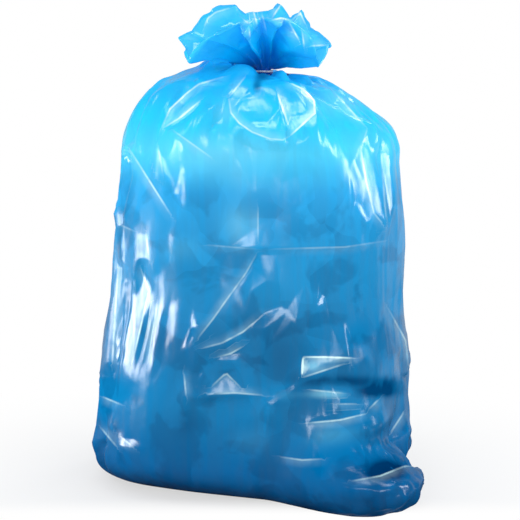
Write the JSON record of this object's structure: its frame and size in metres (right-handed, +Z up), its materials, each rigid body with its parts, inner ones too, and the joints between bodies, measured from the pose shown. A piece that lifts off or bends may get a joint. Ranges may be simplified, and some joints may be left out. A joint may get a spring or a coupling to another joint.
{
  "type": "filled garbage bag",
  "caption": "Filled plastic-film garbage bag standing on its base, gathered at the neck by a tie, with a ruffle of loose film above and a sealed corner at the foot.",
  "frame": {"origin": "middle of the footprint's box, on the floor", "axes": "+Z up through the neck, the front towards -Y, the bag's width along X"},
  "size_m": [0.5294, 0.4846, 0.7882],
  "materials": {
    "blue_film": "thin glossy blue film, slightly see-through where it is one layer",
    "tie_plastic": "plain off-white plastic"
  },
  "bodies": {
    "root": {"film_bag": "blue_film", "neck_tie": "tie_plastic"}
  },
  "joints": []
}
